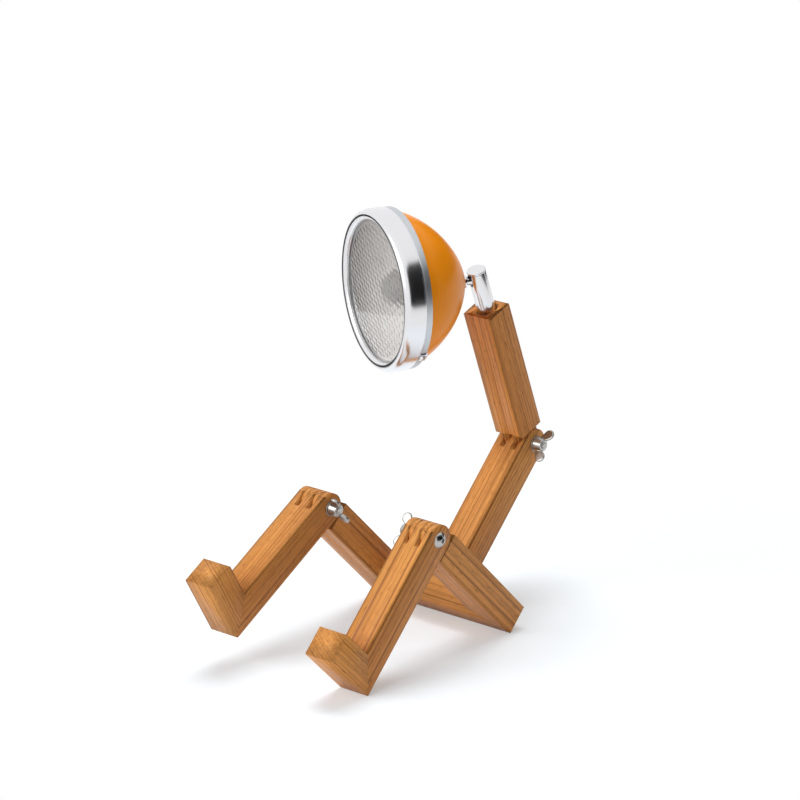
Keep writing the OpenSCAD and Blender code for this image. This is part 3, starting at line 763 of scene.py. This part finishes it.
class FIGURE_OT_bars(bpy.types.Operator):
    """Build the wooden bars with sanded edges, each with its own grain"""
    bl_idname = "figure.bars"
    bl_label = "Wooden Bars"

    def bar(self, node, body, at, bm, finish, glued, hole=None):
        """Adds a bar with its long edges sanded and its glued edges almost sharp."""
        glued_share, sharp = 0.3, math.radians(30)
        weight = bm.edges.layers.float.new("bevel_weight_edge")
        for e in bm.edges:
            if e.calc_face_angle(0) > sharp:
                e[weight] = glued_share if all(glued(*v.co) for v in e.verts) else 1.0
        obj = piece(node, bm, at, body, "oiled_wood", finish, 180)
        modify(obj, "BEVEL", "Sanded edges", width=sizes("bars").edge * MM, segments=3,
               limit_method="WEIGHT")
        if hole:
            drill(obj, hole, at)
        modify(obj, "WEIGHTED_NORMAL", "Flat faces", weight=100)

    def block(self, outline, low, high, turned):
        """A prism of an outline; turned prisms run along X, others along the outline's normal."""
        bm = bmesh.new()
        ends = [[bm.verts.new((w, x, y) if turned else (x, w, y)) for x, y in outline]
                for w in (low, high)]
        skin(bm, ends)
        bm.faces.new(ends[0])
        bm.faces.new(ends[1])
        return bm

    def execute(self, context):
        p, b = sizes("pose"), sizes("bars")
        half_w, half_h = b.bar_w / 2, b.bar_h / 2
        knees = {1: joint_at("knee_left"), -1: joint_at("knee_right")}
        waist = joint_at("waist")
        thigh, post = along(p.seat_tilt), along(p.seat_tilt + math.pi / 2)
        raised, planted = along(-p.raised_drop), along(-p.planted_drop)
        finger, tongue = b.mid_finger_w / 2, b.tongue_w
        slot, gap = b.tongue_w + 2 * b.joint_gap, b.joint_gap
        deep, shoulder = half_h + b.slot_room, half_h + b.shoulder_room
        slots = [-finger - slot, -finger, finger, finger + slot]
        fingers = [None, deep, None, deep, None]
        tabs = [-finger - gap - tongue, -finger - gap, finger + gap, finger + gap + tongue]
        tongues = [shoulder, None, deep, None, shoulder]
        bolt_room, bush_room, bush_depth, past = 0.1, 0.05, 31, 4
        hole_r = sizes("hardware").bolt_d / 2 + bolt_room
        e, near = 2 * HAIR, 10 * HAIR

        def look(node, at, seed, centre):
            """Wood of its own for a bar: a place in the grain, a ring width and a tone."""
            return wood("oiled wood " + node.replace("_", " "), at,
                        (seed * 0.31, seed * 0.17, seed * 0.53), centre,
                        0.0022 + 0.0003 * (seed % 4), 0.94 + 0.03 * (seed % 5))

        for side, node, seed, centre in ((-1, "thigh_right", 2, (0.12, 0.09, 0)),
                                         (1, "thigh_left", 3, (0.11, -0.13, 0))):
            at = bar_place(knees[side], -thigh)
            reach = b.thigh_reach - half_w
            bm = bar_mesh(b, tongues, tabs, lambda x, y, s=side: reach + s * x - e, hole_r)
            self.bar(node, "seat_frame", at, bm, look(node, at, seed, centre),
                     lambda x, y, z, s=side: abs(z - s * x - reach) < near)
        at = bar_place(waist, -post)
        self.bar("seat_post", "seat_frame", at,
                 bar_mesh(b, fingers, slots, lambda x, y: b.post_reach - e, hole_r),
                 look("seat_post", at, 4, (0.10, 0.14, 0)),
                 lambda x, y, z: abs(z - b.post_reach) < near)
        at = bar_place(waist, along(math.pi / 2 - p.chest_lean))
        bm = bar_mesh(b, tongues, tabs, lambda x, y: b.chest_reach - e, hole_r)
        hole = bmesh.new()
        bush_r = sizes("neck").bush_d / 2 + bush_room
        low, high = b.chest_reach - bush_depth, b.chest_reach + past
        loft(hole, [(low, 0), (low, bush_r), (high, bush_r), (high, 0)], closed=False)
        self.bar("chest_bar", "chest", at, bm, look("chest_bar", at, 9, (0.13, -0.10, 0)),
                 lambda x, y, z: False, hole)
        for side, drop, name, seed, centre in (
                (-1, raised, "right", 5, (-0.12, 0.11, 0)),
                (1, planted, "left", 7, (0.11, 0.13, 0))):
            at = bar_place(knees[side], drop)
            sole = b.shin_reach

            def mitre(x, y, z):
                return abs(y + z - sole + half_h) < near
            bm = bar_mesh(b, fingers, slots, lambda x, y: sole - half_h - y - e, hole_r)
            self.bar("shin_" + name, "leg_" + name, at, bm,
                     look("shin_" + name, at, seed, centre), mitre)
            outline = [(-half_h + e, sole), (half_h, sole - b.bar_h + e),
                       (b.foot_l - half_h - e, sole - b.bar_h + e), (b.foot_l - half_h - e, sole)]
            grain = bar_place(knees[side], Vector((0, drop.z, -drop.y)))
            self.bar("foot_" + name, "leg_" + name, at,
                     self.block(outline, -half_w, half_w, True),
                     look("foot_" + name, grain, seed + 1, (0.12, 0.10, 0)), mitre)
        half = b.seat_w / 2
        outline = [(-half + 2 * e, e), (half - 2 * e, e), (half - b.bar_w - e, b.bar_w),
                   (b.bar_w - half + e, b.bar_w)]
        origin, x = Vector((0, 0, 0)), Vector((1, 0, 0))
        level = place(origin, x, post, thigh)
        grain = place(origin, x.cross(thigh), thigh, x)
        self.bar("seat_crossbar", "seat_frame", level,
                 self.block(outline, e, b.bar_h - e, False),
                 look("seat_crossbar", grain, 1, (0.10, -0.12, 0)),
                 lambda x, y, z: abs(abs(x) + z - half) < near)
        dress(wood("dowel wood", bar_place(waist, -post), (7, 3, 1), (0.03, 0.02, 0)),
              "post_dowels")
        return {"FINISHED"}


class FIGURE_OT_bolts(bpy.types.Operator):
    """Build the joint bolts with domed heads, sockets and threads"""
    bl_idname = "figure.bolts"
    bl_label = "Joint Bolts"

    def profile(self, b, h):
        """Rings of a bolt, from the floor of its socket to the end of its thread."""
        half, r = b.bar_w / 2, h.bolt_d / 2
        top, end = -half - h.head_h, half + h.washer_t + h.hub_h + h.bolt_end
        dome_r = ((h.head_d / 2) ** 2 + h.head_h ** 2) / 2 / h.head_h
        socket = hexagon(h.key_w)
        floor_share, lead_low, lead_high, lead_out = 0.98, 0.5, 0.27, 0.14
        rings = [(top + h.key_depth, 0), (top + h.key_depth, lambda a: socket(a) * floor_share),
                 (top + lead_low, socket), (top + lead_high, lambda a: socket(a) + lead_out)]
        steps, mouth = 14, 0.35
        edge = math.asin(min(h.head_d / 2 / dome_r, 1))
        first = math.asin((h.key_w / math.sqrt(3) + mouth) / dome_r)
        for i in range(steps + 1):
            a = first + (edge - first) * i / steps
            rings.append((top + dome_r * (1 - math.cos(a)), dome_r * math.sin(a) - 2 * HAIR))
        fillet, run_in, run_out, depth = 0.2, 1.0, 0.6, 0.34
        start = half - run_in
        rings += [(-half - 2 * HAIR, h.head_d / 2 - 0.25), (-half, r + fillet),
                  (-half + fillet, r), (start, r)]
        z = start
        while z < end - 5 * HAIR:
            z = min(z + h.thread_pitch / 8, end - 2 * HAIR)

            def thread(a, z=z):
                turn = (z / h.thread_pitch - a / FULL_TURN) % 1.0
                cut = depth * abs(turn * 2 - 1) * min(1.0, (z - start) / run_in)
                point = max(0.0, (z - (end - run_out)) / run_out) * 0.5
                return r - 3 * HAIR - max(cut, point)
            rings.append((z, thread))
        return rings + [(end, r - 0.62), (end, 0)]

    def execute(self, context):
        rings = self.profile(sizes("bars"), sizes("hardware"))
        for node, at, body, _ in bolted("bolt"):
            turned(node, rings, at, body, "steel", bright_steel(), 30, closed=False)
        return {"FINISHED"}


class FIGURE_OT_washers(bpy.types.Operator):
    """Build the pressed washers under the wing nuts"""
    bl_idname = "figure.washers"
    bl_label = "Washers"

    def execute(self, context):
        b, h = sizes("bars"), sizes("hardware")
        low, high = b.bar_w / 2, b.bar_w / 2 + h.washer_t
        inner, outer = h.bolt_d / 2 + BORE_ROOM, h.washer_d / 2
        rings = rounded([(low, inner), (low, outer), (high, outer), (high, inner)], 0.3)
        for node, at, body, _ in bolted("washer"):
            turned(node, rings, at, body, "steel", bright_steel())
        return {"FINISHED"}


class FIGURE_OT_wing_nuts(bpy.types.Operator):
    """Build the cast wing nuts, with fillets between hub and wings"""
    bl_idname = "figure.wing_nuts"
    bl_label = "Wing Nuts"

    def wing(self, bm, h, side):
        """One paddle: an outline in the plane of the bolt, with a rounded edge."""
        root, steps = 0.6, 28
        tip = Vector((h.wing_reach - h.wing_r, h.wing_rise - h.wing_r))
        low = Vector((h.hub_d / 2 - h.wing_t, root))
        high = Vector((h.hub_top_d / 2 - h.wing_t / 2, h.hub_h - root))

        def ray(a):
            return Vector((math.cos(a), math.sin(a)))

        def touch(p, way):
            """Angle round the tip's centre where a line from p touches the round end."""
            v = tip - p
            a = math.atan2(v.y, v.x) + way * math.asin(h.wing_r / v.length)
            at = p + math.sqrt(v.length ** 2 - h.wing_r ** 2) * ray(a) - tip
            return math.atan2(at.y, at.x)
        start, stop = touch(low, -1), touch(high, 1)
        rim = [tip + h.wing_r * ray(start + (stop - start) * i / steps) for i in range(steps + 1)]
        outline = [low] + rim + [high]
        middle = sum(outline, Vector((0, 0))) / len(outline)
        rows = []
        for share, inset in ((-1.0, 0.75), (-0.8, 0.25), (-0.45, 0.0), (0.45, 0.0), (0.8, 0.25),
                             (1.0, 0.75)):
            row = []
            for p in outline:
                q = p + (middle - p).normalized() * inset
                row.append(bm.verts.new((side * q.x, side * share * h.wing_t / 2, q.y)))
            rows.append(row)
        skin(bm, rows)
        bm.faces.new(rows[0])
        bm.faces.new(rows[-1])

    def execute(self, context):
        b, h = sizes("bars"), sizes("hardware")
        steel = metal("cast nut metal", tuple(q * 1.02 for q in sizes("finish").steel), 0.3, 0.1)
        quarter, count = math.pi / 2, 64
        low, high, bore_r, past = h.hub_d / 2, h.hub_top_d / 2, h.bolt_d / 2 + BORE_ROOM, 6
        hub = [(3 * HAIR, 0), (3 * HAIR, low - 0.4), (0.2, low - 0.1), (0.6, low),
               (h.hub_h - 0.6, high + 0.1), (h.hub_h - 0.15, high - 0.2), (h.hub_h, high - 0.6),
               (h.hub_h, 0)]
        turns = (h.raised_wing - quarter, quarter - h.planted_wing, h.waist_wing - quarter)
        for (node, at, _, body), turn in zip(bolted("wing_nut"), turns):
            bm = bmesh.new()
            loft(bm, hub, count, closed=False)
            for way in (-1, 1):
                self.wing(bm, h, way)
            base = at @ Matrix.Translation(
                (0, 0, (b.bar_w / 2 + h.washer_t) * MM)) @ Matrix.Rotation(turn, 4, "Z")
            obj = piece(node, bm, base, body, "steel", steel, 60)
            modify(obj, "REMESH", "Cast in one", mode="VOXEL", voxel_size=0.22 * MM,
                   use_smooth_shade=True)
            modify(obj, "SMOOTH", "Fillets", iterations=6, factor=0.5)
            bore = bmesh.new()
            loft(bore, [(-2, 0), (-2, bore_r), (h.hub_h + past, bore_r), (h.hub_h + past, 0)],
                 count, closed=False)
            drill(obj, bore, base)
            for f in obj.data.polygons:
                f.use_smooth = True
        return {"FINISHED"}


def pad_place(h):
    """Rear face of the shell's pad, along the stud from the ball's centre."""
    proud = 0.4
    return h.lens_reach - h.shell_l - proud


class FIGURE_OT_neck(bpy.types.Operator):
    """Build the chromed neck: barrel with its slot, cap, ball stud and collar"""
    bl_idname = "figure.neck"
    bl_label = "Neck"

    def execute(self, context):
        n, h = sizes("neck"), sizes("head")
        up = neck_place() @ Matrix.Translation((0, 0, -n.ball_rise * MM))
        low, r, bend, chamfer = n.neck_h - n.cap_t, n.neck_d / 2, 0.6, 0.25
        cap = [(low + 3 * HAIR, 0), (low + 3 * HAIR, r - chamfer), (low + chamfer, r - 2 * HAIR),
               (n.neck_h - bend, r - 2 * HAIR)]
        cap += oval(n.neck_h - bend, r - bend, bend, bend - 2 * HAIR, 10, 90, 8)
        turned("neck_cap", cap + [(n.neck_h, 0)], up, "neck", "chrome", chrome(), closed=False)

        pad_at, ball, r = pad_place(h), n.ball_d / 2, n.stud_d / 2
        steps, shank_at, shank_turn, ball_share = 24, 4.4, 40, 0.996
        rings = [(-ball + HAIR, 0)]
        for i in range(1, steps + 1):
            a = math.radians(180 - i * (180 - shank_turn) / steps)
            rings.append((ball * math.cos(a), ball * math.sin(a) * ball_share))
        collar_r, collar_l, bend, thread_l = 4.75, 2.2, 0.4, 8
        rings += [(shank_at, r), (pad_at - collar_l - bend, r), (pad_at - collar_l, r + 0.5),
                  (pad_at - collar_l, collar_r - 0.45), (pad_at - collar_l + bend, collar_r),
                  (pad_at - bend, collar_r), (pad_at, collar_r - 0.35), (pad_at, r),
                  (pad_at + thread_l, r), (pad_at + thread_l + bend, r - bend),
                  (pad_at + thread_l + bend, 0)]
        turned("head_stud", rings, stud_place(), "head", "chrome", chrome(), closed=False)
        dress(chrome(), "neck_barrel")
        break_edges("neck_barrel", 0.18, 50)
        dress(plain_steel(), "neck_nut", "stud_nut")
        # The bush's black finish is painted shade for the shadowed gap round the barrel; the ball
        # seat's black is its own colour.
        dress(black_plastic(), "neck_bush", "ball_seat")
        return {"FINISHED"}


def dome(h, t, start, steps):
    """The shell's curve as (height, radius) points, from a distance behind the lens rim."""
    l, r = h.shell_l - t, h.bezel_r - t
    first = math.asin(start / l)
    out = []
    for i in range(steps + 1):
        a = l * math.sin(first + (math.pi / 2 - first) * i / steps)
        out.append((-a, 0.0 if i == steps else r * (1 - (a / l) ** 2) ** h.shell_share))
    return out


class FIGURE_OT_shell(bpy.types.Operator):
    """Build the painted shell with its rim and the stud's pad"""
    bl_idname = "figure.shell"
    bl_label = "Head Shell"

    def execute(self, context):
        h, n = sizes("head"), sizes("neck")
        rim_at, pad_r, pad_l = 7.2, 6.0, 2.6
        outer = dome(h, 0.0, h.bezel_l, 72)
        inner = dome(h, h.shell_t, h.bezel_l, 48)
        rim, paint = outer[0][1], gloss_paint()
        rings = [(-rim_at, rim - 2 * HAIR)] + outer[:-1] + [(-h.shell_l + HAIR / 2, 0)]
        rings += inner[::-1] + [(-rim_at, rim - h.shell_t)]
        turned("head_shell", rings, head_place(), "head", "orange_paint", paint, 50, 128)
        low, bore = pad_place(h), n.stud_d / 2 + BORE_ROOM
        pad = [(low, bore), (low, pad_r), (low + pad_l, pad_r), (low + pad_l, bore)]
        turned("stud_pad", rounded(pad, 0.35), stud_place(), "head", "orange_paint", paint)
        return {"FINISHED"}


class FIGURE_OT_bezel(bpy.types.Operator):
    """Build the chromed bezel: rolled lip, convex band, groove and rear flange"""
    bl_idname = "figure.bezel"
    bl_label = "Bezel"

    def execute(self, context):
        h = sizes("head")
        t, rise, band = h.bezel_t, h.lip_rise, h.band_at
        crest, wide = h.lens_r + 0.5 * (h.bezel_r - h.lens_r), h.bezel_r - 3 * HAIR
        lip, turn = crest - h.lens_r, wide - crest
        rim_r, end = h.bezel_r - h.flange_depth, -h.bezel_l
        step = end + h.flange_l  # rear end of the groove
        shell_rim = dome(h, 0.0, h.bezel_l, 1)[0][1] + 0.1
        count, groove, lens_at = 192, 0.25, -1.0
        rings = [(lens_at, h.lens_r)] + oval(0, crest, rise, lip, 180, 90, 20)
        rings += oval(-band, crest, rise + band, turn, 88, 0, 24)
        rings += rounded([(-band, wide), (step + 1.2, wide - 2 * HAIR), (step + 1.0, wide - 0.12),
                          (step + 0.8, rim_r - groove), (step, rim_r - groove),
                          (step, rim_r - 0.1), (step - 0.15, rim_r), (end + 0.3, rim_r),
                          (end, rim_r - 0.3)], 0.06, 2, True)[1:]
        rings += [(end, shell_rim), (step, shell_rim), (step + 1, h.bezel_r - t)]
        rings += oval(-band, crest, rise + band - t, turn - t, 0, 88, 12)
        rings += oval(0, crest, rise - t, lip - t, 90, 180, 10) + [(lens_at, h.lens_r + t)]
        turned("head_bezel", rings, head_place(), "head", "chrome", chrome(), 40, count)
        low, high, inner, outer = end + 2 * HAIR, step - 2 * HAIR, rim_r - 0.3, rim_r + 0.05
        strip = rounded([(low, inner), (low, outer), (high, outer), (high, inner)], 0.1)
        turned("bezel_flange", strip, head_place(), "head", "chrome",
               metal("satin rim", (0.62, 0.65, 0.68), 0.42), 40, count)
        return {"FINISHED"}


class FIGURE_OT_lens(bpy.types.Operator):
    """Build the lens, crowned and pressed with staggered cells, and its gasket"""
    bl_idname = "figure.lens"
    bl_label = "Lens"

    def execute(self, context):
        h = sizes("head")
        flat_r, rim_r, cells_r, fade = h.lens_r - 0.3, h.lens_r + 3.45, h.lens_r - 3.2, 1.2
        front, corner, steps, count = -1.06, 0.3, 170, 420

        def cell(x, y):
            """Height of the pressed pattern, from 0 in the grooves to 1 on a cell."""
            row = math.floor(y / h.cell_h)
            u = (x / h.cell_w + 0.5 * (row % 2)) % 1.0
            v = (y / h.cell_h) % 1.0
            du, dv = abs(u - 0.5) * 2, abs(v - 0.5) * 2
            return max(0.0, 1 - du ** 4) * max(0.0, 1 - dv ** 3)

        def crowned(r):
            return front + h.crown * max(0.0, 1 - (r / flat_r) ** 2)

        def pressed(r):
            """Height of the lens's back at a radius, by angle."""
            depth = h.cell_depth * min(1.0, max(0.0, (cells_r - r) / fade))
            base = crowned(r) - h.lens_t
            return lambda a: base + depth * (1 - cell(r * math.cos(a), r * math.sin(a)))

        radii = [flat_r * k / steps for k in range(steps + 1)]
        back = front - h.lens_t
        rings = [(crowned(r), r) for r in radii]
        rings += [(front, rim_r - corner), (front - corner, rim_r), (back + corner, rim_r),
                  (back, rim_r - corner)]
        rings += [(pressed(r), r) for r in radii[:0:-1]] + [(crowned(0) - h.lens_t, 0)]
        turned("head_lens", rings, head_place(), "head", "clear_glass", pressed_glass(), 60, count,
               closed=False)
        dress(plain("black rubber", (0.02, 0.02, 0.02), 0.6), "lens_gasket")
        return {"FINISHED"}


class FIGURE_OT_reflector(bpy.types.Operator):
    """Build the reflector bowl and the bulb behind the lens"""
    bl_idname = "figure.reflector"
    bl_label = "Reflector and Bulb"

    def execute(self, context):
        h = sizes("head")
        t, steps = h.reflector_t, 40
        front, back = -5.97, -h.bowl_at
        mouth, rim_r, hole_r = h.lens_r - 0.8, h.lens_r + 6.3, 10.6
        bowl = [(front + (back - front) * math.sqrt(q), mouth + (h.bowl_r - mouth) * q)
                for q in (i / steps for i in range(steps + 1))]
        rings = [(front, rim_r), (front + t, rim_r), (front + t, mouth)]
        rings += [(z + t, r - 0.05) for z, r in bowl[1:]] + [(back + t, hole_r), (back, hole_r)]
        rings += [(bowl[-1][0], h.bowl_r + 0.7)] + bowl[-2::-1]
        # The reflector metal's warm tint is a painted reflection of the orange shell, not the
        # metal's own colour.
        turned("reflector", rings, head_place(), "head", "reflector_metal",
               metal("reflector metal with painted warm reflection", (0.94, 0.885, 0.86), 0.5, 0.08, 0.1, 0.12), 40, 128)

        r, at, neck_r, steps, glass_turn = h.bulb_r, -h.bulb_at, h.bulb_neck_r, 32, 146
        rings = [(at + r - 2 * HAIR, 0)]
        for i in range(1, steps + 1):
            a = math.radians(i * glass_turn / steps)
            rings.append((at + r * math.cos(a), (r - 2 * HAIR) * math.sin(a)))
        throat, waist, end = -31.4, -33, -43.98
        rings += [(throat, neck_r + 0.3), (waist, neck_r), (end, neck_r), (end, 0)]
        turned("bulb_glass", rings, head_place(), "head", "bulb_glass",
               plain("frosted bulb glass", (0.5, 0.48, 0.46), 0.35), 40, closed=False)
        dress(plain_steel(), "bulb_cap")
        dress(black_plastic(), "bulb_holder")
        return {"FINISHED"}


class FIGURE_OT_rim_clip(bpy.types.Operator):
    """Finish the clip and the slotted screw that hold the bezel on the shell"""
    bl_idname = "figure.rim_clip"
    bl_label = "Rim Clip"

    def execute(self, context):
        dress(chrome(), "rim_clip", "rim_screw")
        for node in ("rim_clip", "rim_screw"):
            break_edges(node, 0.12, 40)
        return {"FINISHED"}


# Studio

class FIGURE_OT_stage(bpy.types.Operator):
    """Build the floor, the soft lights, the background and the camera"""
    bl_idname = "figure.stage"
    bl_label = "Stage"

    def light(self, name, at, aim, wide, high, power):
        data = bpy.data.lights.new(name, "AREA")
        data.shape = "RECTANGLE"
        data.size, data.size_y, data.energy = wide, high, power
        obj = bpy.data.objects.new(name, data)
        obj.location = at
        obj.rotation_euler = (Vector(aim) - Vector(at)).to_track_quat("-Z", "Y").to_euler()
        bpy.context.scene.collection.objects.link(obj)
        return obj

    def sheet(self, name, corners, finish):
        """A flat sheet that belongs to the stage, from its corners."""
        bm = bmesh.new()
        bm.faces.new([bm.verts.new(c) for c in corners])
        obj = mesh_object(name, bm, finish)
        obj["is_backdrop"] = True
        return obj

    def flag(self, name, start, end, low, high, finish):
        """A black cloth beside the figure, outside the picture, that shows only in reflections."""
        obj = self.sheet(name, ((*start, low), (*end, low), (*end, high), (*start, high)), finish)
        obj.visible_camera = obj.visible_shadow = obj.visible_diffuse = False

    def seen(self, t):
        """1 for rays that show the background: to the camera, in mirrors and through glass."""
        path = t.add("LightPath").outputs
        return t.math("MAXIMUM", path["Is Camera Ray"],
                      t.math("MAXIMUM", path["Is Glossy Ray"], path["Is Transmission Ray"]))

    def glow(self, t, kind, strength):
        return t.add(kind, (("Color", WHITE), ("Strength", strength))).outputs[0]

    def either(self, t, factor, a, b):
        return t.add("MixShader", ((0, factor), (1, a), (2, b))).outputs[0]

    def sweep(self):
        """White floor that keeps its shadow near the figure and fades to the background."""
        m, shader, t = material("white sweep", (0.82, 0.82, 0.82), 0.0, 0.8,
                                specular_ior_level=0.1)
        seen = self.seen(t)
        t.link(t.mix(seen, (0.85, 0.85, 0.85, 1), (0.65, 0.70, 0.74, 1)),
               shader.inputs["Base Color"])
        where = t.here()
        reach = t.add("VectorMath", ((0, where),), operation="LENGTH").outputs["Value"]
        bump(t, shader, t.math("MULTIPLY", t.noise(where, 900.0, 2.0), 0.2), 0.05, 0.0002)
        far = t.math("MULTIPLY", seen, t.ramp(reach, 0.20, 0.42))
        lift = self.glow(t, "Emission", t.math("MULTIPLY", seen, 0.32))
        near = t.add("AddShader", ((0, shader.outputs[0]), (1, lift))).outputs[0]
        both = self.either(t, far, near, self.glow(t, "Emission", 1.0))
        t.link(both, m.node_tree.nodes["Material Output"].inputs[0])
        return m

    def backdrop(self):
        """World that lights the figure softly and shows as white."""
        world = bpy.data.worlds.new("studio")
        world.use_nodes = True
        world.node_tree.nodes.clear()
        t = Tree(world.node_tree)
        both = self.either(t, self.seen(t), self.glow(t, "Background", 0.28),
                           self.glow(t, "Background", 1.0))
        t.link(both, t.add("OutputWorld").inputs[0])
        return world

    def execute(self, context):
        scene = context.scene
        s = sizes("studio")
        self.sheet("floor", ((-4, -4, 0), (4, -4, 0), (4, 4, 0), (-4, 4, 0)), self.sweep())
        black = plain("black cloth", (0.01, 0.01, 0.01), 0.9, specular_ior_level=0.0)
        self.flag("right flag", (1.2, -0.9), (1.2, 1.3), 0.0, 1.45, black)
        self.flag("left flag", (-0.62, -0.35), (-0.62, 0.6), 0.02, 0.17, black)
        self.flag("rear flag", (-0.7, 1.2), (0.9, 1.2), 0.2, 0.8, black)
        scene.world = self.backdrop()
        self.light("front softbox", (-0.7, -2.4, 1.5), (0, -0.05, 0.1), 2.2, 1.6, 48)
        top = self.light("top softbox", (-0.45, 0.3, 2.3), (0, 0, 0.1), 1.4, 1.4, 38)
        top.visible_glossy = False

        data = bpy.data.cameras.new("camera")
        data.lens, data.sensor_width = s.lens, 36
        data.clip_start, data.clip_end = 0.05, 50
        camera = bpy.data.objects.new("camera", data)
        az, el = s.azimuth, s.elevation
        right = Vector((math.cos(az), math.sin(az), 0))
        back = Vector((math.sin(az) * math.cos(el), -math.cos(az) * math.cos(el), math.sin(el)))
        camera.matrix_world = place(Vector(s.camera_at), right, back.cross(right), back)
        scene.collection.objects.link(camera)
        scene.camera = camera
        scene.view_settings.view_transform = "Standard"
        return {"FINISHED"}


STEPS = (FIGURE_OT_bars, FIGURE_OT_bolts, FIGURE_OT_washers, FIGURE_OT_wing_nuts, FIGURE_OT_neck,
         FIGURE_OT_shell, FIGURE_OT_bezel, FIGURE_OT_lens, FIGURE_OT_reflector,
         FIGURE_OT_rim_clip, FIGURE_OT_stage)


class FIGURE_PT_panel(bpy.types.Panel):
    """Sizes, finishes and steps of the lamp"""
    bl_idname = "FIGURE_PT_panel"
    bl_label = "Figure Lamp"
    bl_space_type = "VIEW_3D"
    bl_region_type = "UI"
    bl_category = "Figure Lamp"

    def draw(self, context):
        for name, kind in GROUPS.items():
            box = self.layout.box()
            box.label(text=name.title())
            for key in kind.__annotations__:
                box.prop(sizes(name), key)
        for step in STEPS:
            self.layout.operator(step.bl_idname)


def register():
    for name, kind in GROUPS.items():
        bpy.utils.register_class(kind)
        setattr(bpy.types.Scene, "figure_" + name, PointerProperty(type=kind))
    for kind in STEPS + (FIGURE_PT_panel,):
        bpy.utils.register_class(kind)


def unregister():
    for kind in reversed(STEPS + (FIGURE_PT_panel,)):
        bpy.utils.unregister_class(kind)
    for name, kind in reversed(list(GROUPS.items())):
        delattr(bpy.types.Scene, "figure_" + name)
        bpy.utils.unregister_class(kind)


def corners():
    return [[float(c) for c in corner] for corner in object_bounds()]


def main():
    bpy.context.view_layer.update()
    register()
    for step in STEPS:
        area, name = step.bl_idname.split(".")
        getattr(getattr(bpy.ops, area), name)()


if __name__ == "__main__":
    main()
